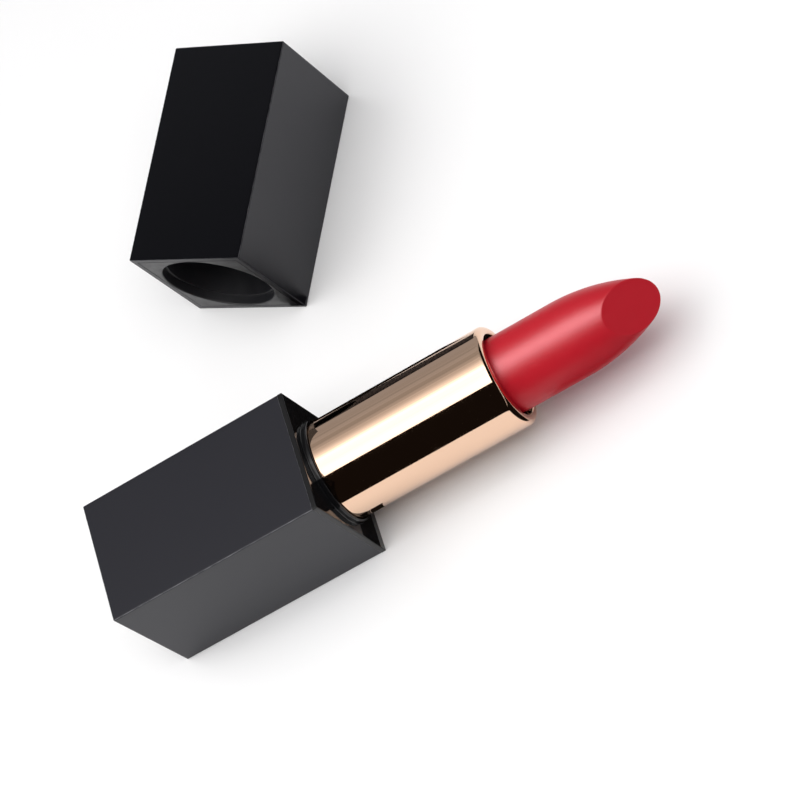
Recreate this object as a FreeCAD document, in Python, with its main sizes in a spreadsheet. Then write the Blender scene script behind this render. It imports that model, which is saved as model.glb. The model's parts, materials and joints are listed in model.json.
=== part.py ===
import FreeCAD, Part
import os
import re
import Sketcher
from FreeCAD import Placement, Rotation, Vector

# A square-section lipstick case, open, with its lipstick wound out and its cap beside it.
#
# Every piece of the case is drawn in the case's own frame: +X runs along the axis of the
# gold tube, from the flat bottom end (x = 0) to the tip of the lipstick, and Y and Z are
# square to the sides. Every piece of the cap is drawn in the cap's frame, whose +X runs
# from the cap's mouth to its closed end. Both lie on one of their flat sides on z = 0.
# The model's origin is the middle of the side that the base lies on. Sizes are in mm.

DIMENSIONS = (
    ("width", 20.6, "side of the square section, base and cap alike"),
    ("edge_round", 0.25, "rounding of the long edges and the closed ends"),
    ("base_length", 37.0, "bottom end to the face that the cap shuts against"),
    ("base_wall", 1.1, "wall of the base casing"),
    ("base_floor", 1.4, "thickness of the casing's closed bottom end"),
    ("label_radius", 7.0, "shade label"),
    ("label_thick", 0.1, "shade label"),
    ("recess_radius", 7.2, "recess for the label in the bottom end"),
    ("recess_depth", 0.3, "recess for the label in the bottom end"),
    ("weight_thick", 4.0, "steel weight in the base"),
    ("plate_thick", 0.8, "glossy end plate of the base insert"),
    ("plate_round", 0.15, "rounding of the end plate's outer edges"),
    ("spigot_length", 4.0, "square spigot of the insert, inside the casing"),
    ("boss_radius", 8.75, "raised ring round the foot of the tube"),
    ("boss_height", 0.9, "raised ring round the foot of the tube"),
    ("boss_round", 0.3, "rounding of the raised ring"),
    ("sleeve_radius", 9.1, "outside of the insert's round sleeve"),
    ("sleeve_start", 19.5, "lower end of the insert's round sleeve"),
    ("sleeve_floor", 1.8, "floor of the insert's round sleeve"),
    ("insert_bore", 8.2, "bore of the insert, which the foot of the tube turns in"),
    ("ring_bore", 8.35, "the same bore inside the raised ring, round the full-width tube"),
    ("stub_radius", 3.0, "stub that fixes the inner body in the sleeve's floor"),
    ("foot_radius", 8.0, "flange at the foot of the inner body"),
    ("foot_thick", 1.4, "flange at the foot of the inner body"),
    ("guide_inside", 6.57, "inside radius of the inner body"),
    ("guide_outside", 6.93, "outside radius of the inner body"),
    ("guide_top", 65.9, "upper end of the inner body"),
    ("guide_slot", 2.0, "width of the two straight slots in the inner body"),
    ("slot_spare", 0.75, "how far a slot runs on past a lug at each end of travel"),
    ("bead_radius", 7.35, "bead that keeps the spiral sleeve on the inner body"),
    ("bead_start", 62.9, "lower edge of that bead"),
    ("bead_width", 0.7, "width of that bead"),
    ("ring_centre", 24.6, "middle plane of the drag ring"),
    ("ring_mean_radius", 7.28, "drag ring, to the middle of its section"),
    ("ring_section", 0.32, "radius of the drag ring's section"),
    ("tube_radius", 8.2, "outside radius of the gold tube"),
    ("tube_wall", 0.4, "wall of the gold tube"),
    ("tube_relief", 0.17, "how much slimmer the tube is where it turns in the insert"),
    ("tube_start", 23.2, "lower end of the gold tube, hidden in the insert"),
    ("tube_end", 68.2, "rim of the gold tube"),
    ("rim_opening", 6.7, "radius of the opening in the turned-in rim"),
    ("rim_thick", 0.5, "thickness of the turned-in rim"),
    ("rim_shoulder", 0.9, "rounding between the tube and its rim"),
    ("rim_lip", 0.24, "rounding of the two edges of the rim's opening"),
    ("spiral_inside", 7.07, "inside radius of the spiral sleeve"),
    ("spiral_outside", 7.7, "outside radius of the spiral sleeve"),
    ("spiral_start", 26.4, "lower end of the spiral sleeve"),
    ("spiral_end", 62.5, "upper end of the spiral sleeve"),
    ("groove_radius", 7.52, "radius at the bottom of the spiral grooves"),
    ("groove_mouth", 6.73, "inner end of the grooves' cutting section, clear of the sleeve"),
    ("groove_width", 2.26, "width of a groove, measured along the axis"),
    ("groove_pitch", 18.0, "advance of the lipstick in one turn of the tube"),
    ("groove_spare_angle", 12.0, "degrees that a groove runs on past each end of travel"),
    ("travel", 27.0, "travel of the lipstick, wound out to wound in"),
    ("cup_bottom", 55.0, "underside of the cup, wound out"),
    ("cup_length", 11.0, "height of the cup"),
    ("cup_floor", 1.0, "floor of the cup"),
    ("cup_outside", 6.45, "outside radius of the cup"),
    ("cup_inside", 6.05, "inside radius of the cup"),
    ("lug_height", 2.0, "middle of the lugs above the cup's underside"),
    ("lug_radius", 0.85, "radius of a lug"),
    ("lug_reach", 7.36, "end of a lug, from the axis"),
    ("root_radius", 5.95, "root of the lipstick, inside the cup"),
    ("stick_radius", 6.05, "lipstick, 12.1 mm across"),
    ("ogive_start", 78.7, "where the lipstick begins to taper"),
    ("ogive_radius", 31.0, "radius of the taper's arc"),
    ("facet_crossing", 91.2, "where the slanted facet crosses the axis"),
    ("facet_lean", 46.0, "degrees between the facet's normal and the axis"),
    ("facet_turn", 128.0, "degrees that the facet is turned about the axis, from +Y"),
    ("cap_length", 36.6, "mouth to closed end"),
    ("cap_wall", 1.0, "wall of the cap's outer shell"),
    ("cap_floor", 1.2, "thickness of the cap's closed end"),
    ("mouth_round", 0.15, "rounding of the cap's edges at the mouth"),
    ("fit_gap", 0.05, "gap all round between a shell and what is pressed into it"),
    ("block_length", 4.0, "square block of the cap's liner, at the mouth"),
    ("liner_radius", 9.2, "outside of the liner's round part"),
    ("liner_length", 33.8, "mouth to the outside of the liner's end"),
    ("liner_floor", 0.8, "thickness of the liner's end"),
    ("cap_bore", 8.55, "bore of the liner, which slides over the gold tube"),
    ("counterbore_radius", 8.95, "wider mouth of the bore, for the raised ring"),
    ("counterbore_depth", 1.5, "wider mouth of the bore, for the raised ring"),
    ("bore_edge", 0.2, "rounding of the edge where the bore meets the mouth"),
    ("cap_weight_side", 16.6, "side of the steel plate in the cap"),
    ("cap_weight_thick", 1.4, "thickness of the steel plate in the cap"),
    ("cap_centre_x", 18.6, "where the cap lies, from the origin"),
    ("cap_centre_y", 56.7, "where the cap lies, from the origin"),
    ("cap_heading", 60.0, "degrees from +X to the cap's axis, mouth to closed end"),
)

doc = FreeCAD.newDocument("lipstick_case")
sheet = doc.addObject("Spreadsheet::Sheet", "dims")
for row, (alias, value, meaning) in enumerate(DIMENSIONS, start=1):
    sheet.set(f"A{row}", alias)
    sheet.set(f"B{row}", str(value))
    sheet.set(f"C{row}", meaning)
    sheet.setAlias(f"B{row}", alias)
doc.recompute()

ALIASES = {alias for alias, _, _ in DIMENSIONS}


def bound(formula):
    """The formula as an expression, with each dimension's name pointing at the sheet."""
    return re.sub(r"[a-z_]+", lambda m: f"dims.{m[0]}" if m[0] in ALIASES else m[0], formula)


def number(formula):
    """What the formula comes to now, for a first guess that the solver then settles."""
    result = sheet.evalExpression(bound(formula))
    return float(getattr(result, "Value", result))


# ---- sketches ----------------------------------------------------------------------------

ORIGIN = (-1, 1)
ACROSS_AXIS = -1
UP_AXIS = -2


def new_body(label):
    body = doc.addObject("PartDesign::Body", label)
    body.Label = label
    return body


def new_sketch(body, name, plane, offset="0"):
    """An empty sketch on one of the body's own planes, moved along the plane's normal."""
    sketch = body.newObject("Sketcher::SketchObject", f"{body.Label}_{name}")
    support = next(f for f in body.Origin.OriginFeatures if f.Role == plane)
    sketch.AttachmentSupport = [(support, "")]
    sketch.MapMode = "FlatFace"
    sketch.setExpression("AttachmentOffset.Base.z", bound(offset))
    return sketch


def pin_point(sketch, geometry, end, across, up):
    """Holds one point of the sketch at two formulas: its distances across and up."""
    for kind, axis, formula in (("DistanceX", UP_AXIS, across), ("DistanceY", ACROSS_AXIS, up)):
        if formula == "0":
            sketch.addConstraint(Sketcher.Constraint("PointOnObject", geometry, end, axis))
            continue
        place = Sketcher.Constraint(kind, *ORIGIN, geometry, end, number(formula))
        index = sketch.addConstraint(place)
        sketch.setExpression(f"Constraints[{index}]", bound(formula))


def draw_outline(sketch, corners):
    """A closed outline of straight lines through corners given as pairs of formulas."""
    points = [Vector(number(across), number(up), 0) for across, up in corners]
    lines = []
    for start, end in zip(points, points[1:] + points[:1]):
        lines.append(sketch.addGeometry(Part.LineSegment(start, end)))
    for line, following in zip(lines, lines[1:] + lines[:1]):
        sketch.addConstraint(Sketcher.Constraint("Coincident", line, 2, following, 1))
    for line, (across, up) in zip(lines, corners):
        pin_point(sketch, line, 1, across, up)


def draw_square(sketch, half):
    minus = f"-({half})"
    draw_outline(sketch, ((minus, minus), (half, minus), (half, half), (minus, half)))


def draw_circle(sketch, radius, across="0", up="0"):
    centre = Vector(number(across), number(up), 0)
    circle = sketch.addGeometry(Part.Circle(centre, Vector(0, 0, 1), number(radius)))
    pin_point(sketch, circle, 3, across, up)
    index = sketch.addConstraint(Sketcher.Constraint("Radius", circle, number(radius)))
    sketch.setExpression(f"Constraints[{index}]", bound(radius))


# ---- features ----------------------------------------------------------------------------


def pad(body, name, draw, start, length):
    """Material along +X from x = start, over a section that draw() puts in the sketch."""
    sketch = new_sketch(body, f"{name}_section", "YZ_Plane", start)
    draw(sketch)
    feature = body.newObject("PartDesign::Pad", f"{body.Label}_{name}")
    feature.Profile = sketch
    feature.setExpression("Length", bound(length))
    doc.recompute()
    return feature


def pocket(body, name, draw, start, length):
    """A hole along +X from x = start, over a section that draw() puts in the sketch."""
    before = body.Shape.Volume
    sketch = new_sketch(body, f"{name}_section", "YZ_Plane", start)
    draw(sketch)
    feature = body.newObject("PartDesign::Pocket", f"{body.Label}_{name}")
    feature.Profile = sketch
    feature.Reversed = True
    feature.setExpression("Length", bound(length))
    doc.recompute()
    if body.Shape.Volume >= before:
        raise RuntimeError(f"{feature.Name} cuts nothing")
    return feature


def cut_across(body, name, plane, draw):
    """A hole right through, both ways from a sketch on a plane that holds the axis."""
    before = body.Shape.Volume
    sketch = new_sketch(body, f"{name}_section", plane)
    draw(sketch)
    feature = body.newObject("PartDesign::Pocket", f"{body.Label}_{name}")
    feature.Profile = sketch
    feature.SideType = "Symmetric"
    feature.setExpression("Length", bound("2 * width"))
    doc.recompute()
    if body.Shape.Volume >= before:
        raise RuntimeError(f"{feature.Name} cuts nothing")
    return feature


def turn(body, name, corners):
    """A profile of straight lines, distance along X and radius, turned about the axis."""
    sketch = new_sketch(body, f"{name}_profile", "XY_Plane")
    draw_outline(sketch, corners)
    return turn_sketch(body, name, sketch)


def turn_sketch(body, name, sketch):
    feature = body.newObject("PartDesign::Revolution", f"{body.Label}_{name}")
    feature.Profile = sketch
    feature.ReferenceAxis = (sketch, ["H_Axis"])
    feature.Angle = 360.0
    doc.recompute()
    return feature


def round_edges(body, name, base, radius, wanted):
    """Rounds each edge of the base feature that wanted() says yes to."""
    edges = [f"Edge{i}" for i, edge in enumerate(base.Shape.Edges, start=1) if wanted(edge)]
    feature = body.newObject("PartDesign::Fillet", f"{body.Label}_{name}")
    feature.Base = (base, edges)
    feature.setExpression("Radius", bound(radius))
    doc.recompute()
    return feature


def lies_at(edge, x):
    """Whether the whole edge lies in the plane at this distance along the axis."""
    box = edge.BoundBox
    return abs(box.XMin - x) < 1e-4 and abs(box.XMax - x) < 1e-4


def runs_along(edge):
    """Whether the edge is straight and parallel to the axis."""
    return isinstance(edge.Curve, Part.Line) and edge.BoundBox.XLength > edge.Length - 1e-4


def is_ring(edge, radius):
    return isinstance(edge.Curve, Part.Circle) and abs(edge.Curve.Radius - radius) < 1e-4


# ---- where the pieces lie ------------------------------------------------------------------

AXIS = Vector(1, 0, 0)
UP = Vector(0, 0, 1)


def move_to(piece, x, y, z):
    for letter, formula in zip("xyz", (x, y, z)):
        piece.setExpression(f"Placement.Base.{letter}", bound(formula))


def lay_case(piece, turned="0"):
    """Lays a piece drawn in the case's frame, turned about the axis by some degrees."""
    piece.Placement = Placement(Vector(), Rotation(AXIS, number(turned)))
    move_to(piece, "-base_length / 2", "0", "width / 2")
    return piece


def lay_cap(piece):
    """Lays a piece drawn in the cap's frame on its side, at the cap's place and heading."""
    piece.Placement = Placement(Vector(), Rotation(UP, number("cap_heading")))
    back = "cap_length / 2"
    move_to(
        piece,
        f"cap_centre_x - {back} * cos(cap_heading)",
        f"cap_centre_y - {back} * sin(cap_heading)",
        "width / 2",
    )
    return piece


# ---- the base ------------------------------------------------------------------------------


def make_base_casing():
    """Square casing, closed at the bottom end, where a shallow recess takes the label."""
    body = new_body("base_casing")
    length = "base_length - plate_thick"
    block = pad(body, "block", lambda s: draw_square(s, "width / 2"), "0", length)
    round_edges(
        body, "edges", block, "edge_round", lambda e: runs_along(e) or lies_at(e, 0)
    )
    pocket(
        body, "inside", lambda s: draw_square(s, "width / 2 - base_wall"), "base_floor", length
    )
    pocket(body, "recess", lambda s: draw_circle(s, "recess_radius"), "0", "recess_depth")
    return lay_case(body)


def make_shade_label():
    """Blank round label, let into the bottom end."""
    label = doc.addObject("Part::Cylinder", "shade_label")
    label.setExpression("Radius", bound("label_radius"))
    label.setExpression("Height", bound("label_thick"))
    label.Placement = Placement(Vector(), Rotation(Vector(0, 1, 0), 90))
    move_to(label, "recess_depth - label_thick - base_length / 2", "0", "width / 2")
    return label


def make_base_weight():
    """Steel block on the floor of the casing, which gives the case its heft."""
    weight = doc.addObject("Part::Box", "base_weight")
    side = "(width - 2 * base_wall - 2 * fit_gap)"
    weight.setExpression("Length", bound("weight_thick"))
    weight.setExpression("Width", bound(side))
    weight.setExpression("Height", bound(side))
    move_to(weight, "base_floor - base_length / 2", f"-{side} / 2", f"(width - {side}) / 2")
    return weight


def make_base_insert():
    """Glossy end plate with a raised ring, a square spigot and a round sleeve behind it."""
    body = new_body("base_insert")
    plate_start = "base_length - plate_thick"
    plate = pad(body, "plate", lambda s: draw_square(s, "width / 2"), plate_start, "plate_thick")
    face = number("base_length")
    round_edges(
        body, "plate_edges", plate, "plate_round", lambda e: runs_along(e) or lies_at(e, face)
    )
    pad(
        body,
        "spigot",
        lambda s: draw_square(s, "width / 2 - base_wall - fit_gap"),
        f"{plate_start} - spigot_length",
        "spigot_length",
    )
    pad(
        body,
        "sleeve",
        lambda s: draw_circle(s, "sleeve_radius"),
        "sleeve_start",
        f"{plate_start} - sleeve_start",
    )
    boss = pad(
        body, "boss", lambda s: draw_circle(s, "boss_radius"), "base_length", "boss_height"
    )
    boss_top = number("base_length + boss_height")
    round_edges(body, "boss_edge", boss, "boss_round", lambda e: lies_at(e, boss_top))
    pocket(
        body,
        "bore",
        lambda s: draw_circle(s, "insert_bore"),
        "sleeve_start + sleeve_floor",
        "base_length",
    )
    pocket(
        body, "ring_bore", lambda s: draw_circle(s, "ring_bore"), "base_length", "boss_height"
    )
    pocket(
        body,
        "stub_hole",
        lambda s: draw_circle(s, "stub_radius + fit_gap"),
        "sleeve_start",
        "sleeve_floor",
    )
    return lay_case(body)


def make_inner_body():
    """Thin guide tube that stands in the insert, with two straight slots for the lugs."""
    body = new_body("inner_body")
    floor = "sleeve_start + sleeve_floor"
    foot_top = f"{floor} + foot_thick"
    turn(
        body,
        "wall",
        (
            ("sleeve_start", "0"),
            ("sleeve_start", "stub_radius"),
            (floor, "stub_radius"),
            (floor, "foot_radius"),
            (foot_top, "foot_radius"),
            (foot_top, "guide_outside"),
            ("bead_start", "guide_outside"),
            ("bead_start + bead_width / 4", "bead_radius"),
            ("bead_start + bead_width / 2", "bead_radius"),
            ("bead_start + bead_width", "guide_outside"),
            ("guide_top", "guide_outside"),
            ("guide_top", "guide_inside"),
            (foot_top, "guide_inside"),
            (foot_top, "0"),
        ),
    )
    spare = "(lug_radius + slot_spare)"
    upper = f"cup_bottom + lug_height + {spare}"
    lower = f"cup_bottom + lug_height - travel - {spare}"
    half = "guide_slot / 2"
    corners = ((lower, f"-{half}"), (upper, f"-{half}"), (upper, half), (lower, half))
    cut_across(body, "slots", "XZ_Plane", lambda s: draw_outline(s, corners))
    return lay_case(body)


def make_drag_ring():
    """Rubber ring round the foot of the inner body, which gives the twist its drag."""
    ring = doc.addObject("Part::Torus", "drag_ring")
    ring.setExpression("Radius1", bound("ring_mean_radius"))
    ring.setExpression("Radius2", bound("ring_section"))
    ring.Placement = Placement(Vector(), Rotation(Vector(0, 1, 0), 90))
    move_to(ring, "ring_centre - base_length / 2", "0", "width / 2")
    return ring


# ---- the gold tube and its spiral ----------------------------------------------------------


def make_outer_tube():
    """Drawn aluminium tube with a rounded shoulder and a rim turned in over the works."""
    body = new_body("outer_tube")
    inside = "tube_radius - tube_wall"
    hidden = "tube_radius - tube_relief"
    foot = "base_length + boss_height"
    wall = turn(
        body,
        "wall",
        (
            ("tube_start", inside),
            ("tube_start", hidden),
            (foot, hidden),
            (foot, "tube_radius"),
            ("tube_end", "tube_radius"),
            ("tube_end", "rim_opening"),
            ("tube_end - rim_thick", "rim_opening"),
            ("tube_end - rim_thick", inside),
        ),
    )
    rim = number("tube_end")
    shoulder = round_edges(
        body,
        "shoulder",
        wall,
        "rim_shoulder",
        lambda e: lies_at(e, rim) and is_ring(e, number("tube_radius")),
    )
    round_edges(
        body,
        "lip",
        shoulder,
        "rim_lip",
        lambda e: is_ring(e, number("rim_opening")),
    )
    return lay_case(body)


def make_spiral_sleeve():
    """Sleeve fixed inside the tube, with two spiral grooves that drive the cup's lugs."""
    body = new_body("spiral_sleeve")
    turn(
        body,
        "wall",
        (
            ("spiral_start", "spiral_inside"),
            ("spiral_start", "spiral_outside"),
            ("spiral_end", "spiral_outside"),
            ("spiral_end", "spiral_inside"),
        ),
    )
    spare = "groove_pitch * groove_spare_angle / 360"
    first = f"cup_bottom + lug_height - travel - {spare}"
    before = body.Shape.Volume
    sketch = new_sketch(body, "groove_section", "XY_Plane")
    draw_outline(
        sketch,
        (
            (f"{first} - groove_width / 2", "groove_mouth"),
            (f"{first} + groove_width / 2", "groove_mouth"),
            (f"{first} + groove_width / 2", "groove_radius"),
            (f"{first} - groove_width / 2", "groove_radius"),
        ),
    )
    groove = body.newObject("PartDesign::SubtractiveHelix", "spiral_sleeve_groove")
    groove.Profile = sketch
    groove.ReferenceAxis = (sketch, ["H_Axis"])
    groove.Mode = 0
    groove.setExpression("Pitch", bound("groove_pitch"))
    groove.setExpression("Height", bound(f"travel + 2 * {spare}"))
    doc.recompute()
    both = body.newObject("PartDesign::PolarPattern", "spiral_sleeve_grooves")
    both.Originals = [groove]
    both.Axis = (sketch, ["H_Axis"])
    both.Angle = 360.0
    both.Occurrences = 2
    body.Tip = both
    doc.recompute()
    if body.Shape.Volume >= before:
        raise RuntimeError("the spiral grooves cut nothing")
    return lay_case(body, turned="-groove_spare_angle")


# ---- the cup and the lipstick --------------------------------------------------------------


def make_bullet_cup():
    """Cup that holds the lipstick's root, with a lug on each side near its foot."""
    body = new_body("bullet_cup")
    top = "cup_bottom + cup_length"
    turn(
        body,
        "block",
        (
            ("cup_bottom", "0"),
            ("cup_bottom", "cup_outside"),
            (top, "cup_outside"),
            (top, "0"),
        ),
    )
    sketch = new_sketch(body, "lug_section", "XZ_Plane")
    draw_circle(sketch, "lug_radius", across="cup_bottom + lug_height")
    lugs = body.newObject("PartDesign::Pad", "bullet_cup_lugs")
    lugs.Profile = sketch
    lugs.SideType = "Symmetric"
    lugs.setExpression("Length", bound("2 * lug_reach"))
    doc.recompute()
    pocket(
        body,
        "inside",
        lambda s: draw_circle(s, "cup_inside"),
        "cup_bottom + cup_floor",
        "cup_length",
    )
    return lay_case(body)


def make_lipstick():
    """Moulded stick: a cylinder, an arc-shaped taper and one slanted flat facet."""
    body = new_body("lipstick")
    root = "cup_bottom + cup_floor"
    step = "cup_bottom + cup_length"
    sketch = new_sketch(body, "profile", "XY_Plane")
    corners = (
        (root, "0"),
        (root, "root_radius"),
        (step, "root_radius"),
        (step, "stick_radius"),
        ("ogive_start", "stick_radius"),
    )
    points = [Vector(number(across), number(up), 0) for across, up in corners]
    lines = []
    for start, end in zip(points, points[1:]):
        lines.append(sketch.addGeometry(Part.LineSegment(start, end)))
    taper = "sqrt(2 * ogive_radius * stick_radius - stick_radius * stick_radius)"
    tip = Vector(number(f"ogive_start + {taper}"), 0, 0)
    centre = Vector(number("ogive_start"), number("stick_radius - ogive_radius"), 0)
    whole = Part.Circle(centre, Vector(0, 0, 1), number("ogive_radius"))
    ends = (whole.parameter(tip), whole.parameter(points[-1]))
    arc = sketch.addGeometry(Part.ArcOfCircle(whole, *ends))
    base = sketch.addGeometry(Part.LineSegment(tip, points[0]))
    for line, following in zip(lines, lines[1:]):
        sketch.addConstraint(Sketcher.Constraint("Coincident", line, 2, following, 1))
    sketch.addConstraint(Sketcher.Constraint("Tangent", lines[-1], 2, arc, 2))
    sketch.addConstraint(Sketcher.Constraint("Coincident", arc, 1, base, 1))
    sketch.addConstraint(Sketcher.Constraint("Coincident", base, 2, lines[0], 1))
    sketch.addConstraint(Sketcher.Constraint("PointOnObject", base, 1, ACROSS_AXIS))
    for line, (across, up) in zip(lines, corners):
        pin_point(sketch, line, 1, across, up)
    pin_point(sketch, lines[-1], 2, *corners[-1])
    index = sketch.addConstraint(Sketcher.Constraint("Radius", arc, number("ogive_radius")))
    sketch.setExpression(f"Constraints[{index}]", bound("ogive_radius"))
    turn_sketch(body, "stick", sketch)

    # The facet's plane crosses the axis at facet_crossing and leans back by facet_lean.
    # What lies beyond it is cut away by a block as long as the stick is wide, twice over.
    reach = "2 * stick_radius"
    lean_x, lean_y = "cos(facet_lean)", "sin(facet_lean)"
    near_low = (f"facet_crossing + {reach} * {lean_y}", f"-{reach} * {lean_x}")
    near_high = (f"facet_crossing - {reach} * {lean_y}", f"{reach} * {lean_x}")
    far_high = (f"{near_high[0]} + {reach} * {lean_x}", f"{near_high[1]} + {reach} * {lean_y}")
    far_low = (f"{near_low[0]} + {reach} * {lean_x}", f"{near_low[1]} + {reach} * {lean_y}")
    corners = (near_low, near_high, far_high, far_low)
    cut_across(body, "facet", "XY_Plane", lambda s: draw_outline(s, corners))
    return lay_case(body, turned="facet_turn")


# ---- the cap -------------------------------------------------------------------------------


def make_cap_shell():
    """Square outer shell of the cap, open at the mouth."""
    body = new_body("cap_shell")
    block = pad(body, "block", lambda s: draw_square(s, "width / 2"), "0", "cap_length")
    closed_end = number("cap_length")
    rounded = round_edges(
        body, "edges", block, "edge_round", lambda e: runs_along(e) or lies_at(e, closed_end)
    )
    round_edges(body, "mouth_edges", rounded, "mouth_round", lambda e: lies_at(e, 0))
    pocket(
        body,
        "inside",
        lambda s: draw_square(s, "width / 2 - cap_wall"),
        "0",
        "cap_length - cap_floor",
    )
    return lay_cap(body)


def make_cap_liner():
    """Liner pressed into the shell: a square block at the mouth, and a round cup behind."""
    body = new_body("cap_liner")
    pad(
        body,
        "block",
        lambda s: draw_square(s, "width / 2 - cap_wall - fit_gap"),
        "0",
        "block_length",
    )
    pad(
        body,
        "round_part",
        lambda s: draw_circle(s, "liner_radius"),
        "block_length",
        "liner_length - block_length",
    )
    pocket(body, "bore", lambda s: draw_circle(s, "cap_bore"), "0", "liner_length - liner_floor")
    widened = pocket(
        body,
        "counterbore",
        lambda s: draw_circle(s, "counterbore_radius"),
        "0",
        "counterbore_depth",
    )
    round_edges(
        body,
        "bore_edge",
        widened,
        "bore_edge",
        lambda e: lies_at(e, 0) and is_ring(e, number("counterbore_radius")),
    )
    return lay_cap(body)


def make_cap_weight():
    """Steel plate between the liner's end and the closed end of the shell."""
    weight = doc.addObject("Part::Box", "cap_weight")
    weight.setExpression("Length", bound("cap_weight_thick"))
    weight.setExpression("Width", bound("cap_weight_side"))
    weight.setExpression("Height", bound("cap_weight_side"))
    weight.Placement = Placement(Vector(), Rotation(UP, number("cap_heading")))
    back = "(cap_length / 2 - (cap_length - cap_floor - cap_weight_thick))"
    aside = "cap_weight_side / 2"
    move_to(
        weight,
        f"cap_centre_x - {back} * cos(cap_heading) + {aside} * sin(cap_heading)",
        f"cap_centre_y - {back} * sin(cap_heading) - {aside} * cos(cap_heading)",
        "(width - cap_weight_side) / 2",
    )
    return weight


PIECES = (
    make_base_casing(),
    make_shade_label(),
    make_base_weight(),
    make_base_insert(),
    make_inner_body(),
    make_drag_ring(),
    make_outer_tube(),
    make_spiral_sleeve(),
    make_bullet_cup(),
    make_lipstick(),
    make_cap_shell(),
    make_cap_liner(),
    make_cap_weight(),
)
doc.recompute()

for item in doc.Objects:
    if {"Invalid", "Error"} & set(item.State):
        raise RuntimeError(f"{item.Name} failed: {item.State}")

os.makedirs("parts", exist_ok=True)
for piece in PIECES:
    if piece.Shape.isNull() or not piece.Shape.isValid():
        raise RuntimeError(f"{piece.Label} has no valid shape")
    piece.Shape.exportStep(f"parts/{piece.Label}.step")
    box = piece.Shape.BoundBox
    print(f"{piece.Label}: {piece.Shape.Volume:.1f} mm3, {len(piece.Shape.Solids)} solid, {box}")
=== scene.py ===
import json
import math

import bmesh
import bpy
from mathutils import Matrix, Vector


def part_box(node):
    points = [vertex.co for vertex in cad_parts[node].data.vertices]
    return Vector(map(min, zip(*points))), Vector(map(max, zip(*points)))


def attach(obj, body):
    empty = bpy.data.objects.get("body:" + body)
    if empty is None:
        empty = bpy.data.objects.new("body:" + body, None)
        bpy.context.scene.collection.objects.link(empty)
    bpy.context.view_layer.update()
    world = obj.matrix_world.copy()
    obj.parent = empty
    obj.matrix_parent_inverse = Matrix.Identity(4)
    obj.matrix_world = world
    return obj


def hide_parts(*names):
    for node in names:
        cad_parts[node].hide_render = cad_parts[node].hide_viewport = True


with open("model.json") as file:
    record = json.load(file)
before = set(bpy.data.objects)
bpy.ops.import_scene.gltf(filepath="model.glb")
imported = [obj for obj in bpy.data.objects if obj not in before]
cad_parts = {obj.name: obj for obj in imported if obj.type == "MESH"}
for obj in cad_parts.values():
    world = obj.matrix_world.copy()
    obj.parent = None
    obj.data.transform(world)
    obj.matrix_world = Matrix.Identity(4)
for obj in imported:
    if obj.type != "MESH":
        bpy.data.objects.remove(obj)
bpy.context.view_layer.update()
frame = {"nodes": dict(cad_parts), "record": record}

# The looks of the open lipstick case. Every shape below is drawn in millimetres along its
# piece's own axis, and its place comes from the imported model. The pieces whose CAD meshes
# are too coarse to look round or sharp are built again, to the same sizes, with rounded
# edges; the pieces hidden inside keep their CAD meshes and get a finish.

MM = 0.001


# ---- where the case and the cap lie ----------------------------------------------------------


def case_place():
    """From the case's own frame, +X from its bottom end to its tip, to the row frame."""
    low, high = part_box("base_casing")
    return Matrix.Translation((low.x, 0, (low.z + high.z) / 2)) @ Matrix.Scale(MM, 4)


def cap_place():
    """From the cap's own frame, +X from its mouth to its closed end, to the row frame."""
    joints = frame["record"]["behaviour"]["joints"]
    axis = Vector(next(j["axis"] for j in joints if j["name"] == "cap_pull_off"))
    low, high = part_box("cap_shell")
    middle = (low + high) / 2
    start = middle - axis * (CAP_LENGTH / 2 * MM)
    turn = Matrix.Rotation(math.atan2(axis.y, axis.x), 4, "Z")
    return Matrix.Translation(start) @ turn @ Matrix.Scale(MM, 4)


# ---- sizes, in millimetres -------------------------------------------------------------------

# These repeat the CAD's sizes, apart from a few roundings of seams and small edges.

WIDTH = 20.6
EDGE_ROUND = 0.25
SEAM_ROUND = 0.08
SHARP_CORNER = 0.02
INNER_CORNER = 0.05

CASING_LENGTH = 36.2
CASING_WALL = 1.1
CASING_FLOOR = 1.4
RECESS_RADIUS = 7.2
RECESS_DEPTH = 0.3
RECESS_EDGE = 0.08
LABEL_RADIUS = 7.0
LABEL_THICK = 0.1

BASE_LENGTH = 37.0
PLATE_ROUND = 0.15
PLATE_SEAM_ROUND = 0.05
BOSS_RADIUS = 8.75
BOSS_HEIGHT = 0.9
BOSS_ROUND = 0.3
BOSS_FOOT = 0.12
RING_BORE = 8.35
INSERT_BORE = 8.2
SPIGOT_LENGTH = 4.0
SPIGOT_GAP = 0.05
SLEEVE_RADIUS = 9.1
SLEEVE_START = 19.5
SLEEVE_FLOOR = 1.8
STUB_HOLE = 3.05

TUBE_RADIUS = 8.2
TUBE_INSIDE = 7.8
TUBE_HIDDEN = 8.03
TUBE_START = 23.2
TUBE_END = 68.2
RIM_OPENING = 6.7
RIM_THICK = 0.5
RIM_SHOULDER = 0.9
RIM_LIP = 0.24

ROOT_START = 56.0
ROOT_END = 66.0
ROOT_RADIUS = 5.95
STICK_RADIUS = 6.05
OGIVE_START = 78.7
OGIVE_RADIUS = 31.0
FACET_CROSSING = 91.2
FACET_LEAN = math.radians(46.0)
FACET_TURN = math.radians(128.0)
FACET_MIDDLE = 1.5
FACET_EDGE = 0.16

CAP_LENGTH = 36.6
CAP_WALL = 1.0
CAP_FLOOR = 1.2
MOUTH_ROUND = 0.15
LINER_GAP = 0.05
BLOCK_LENGTH = 4.0
LINER_RADIUS = 9.2
LINER_LENGTH = 33.8
LINER_FLOOR = 0.8
CAP_BORE = 8.55
COUNTERBORE_RADIUS = 8.95
COUNTERBORE_DEPTH = 1.5
BORE_EDGE = 0.2
BORE_FLOOR_DISC = 0.5


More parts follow.
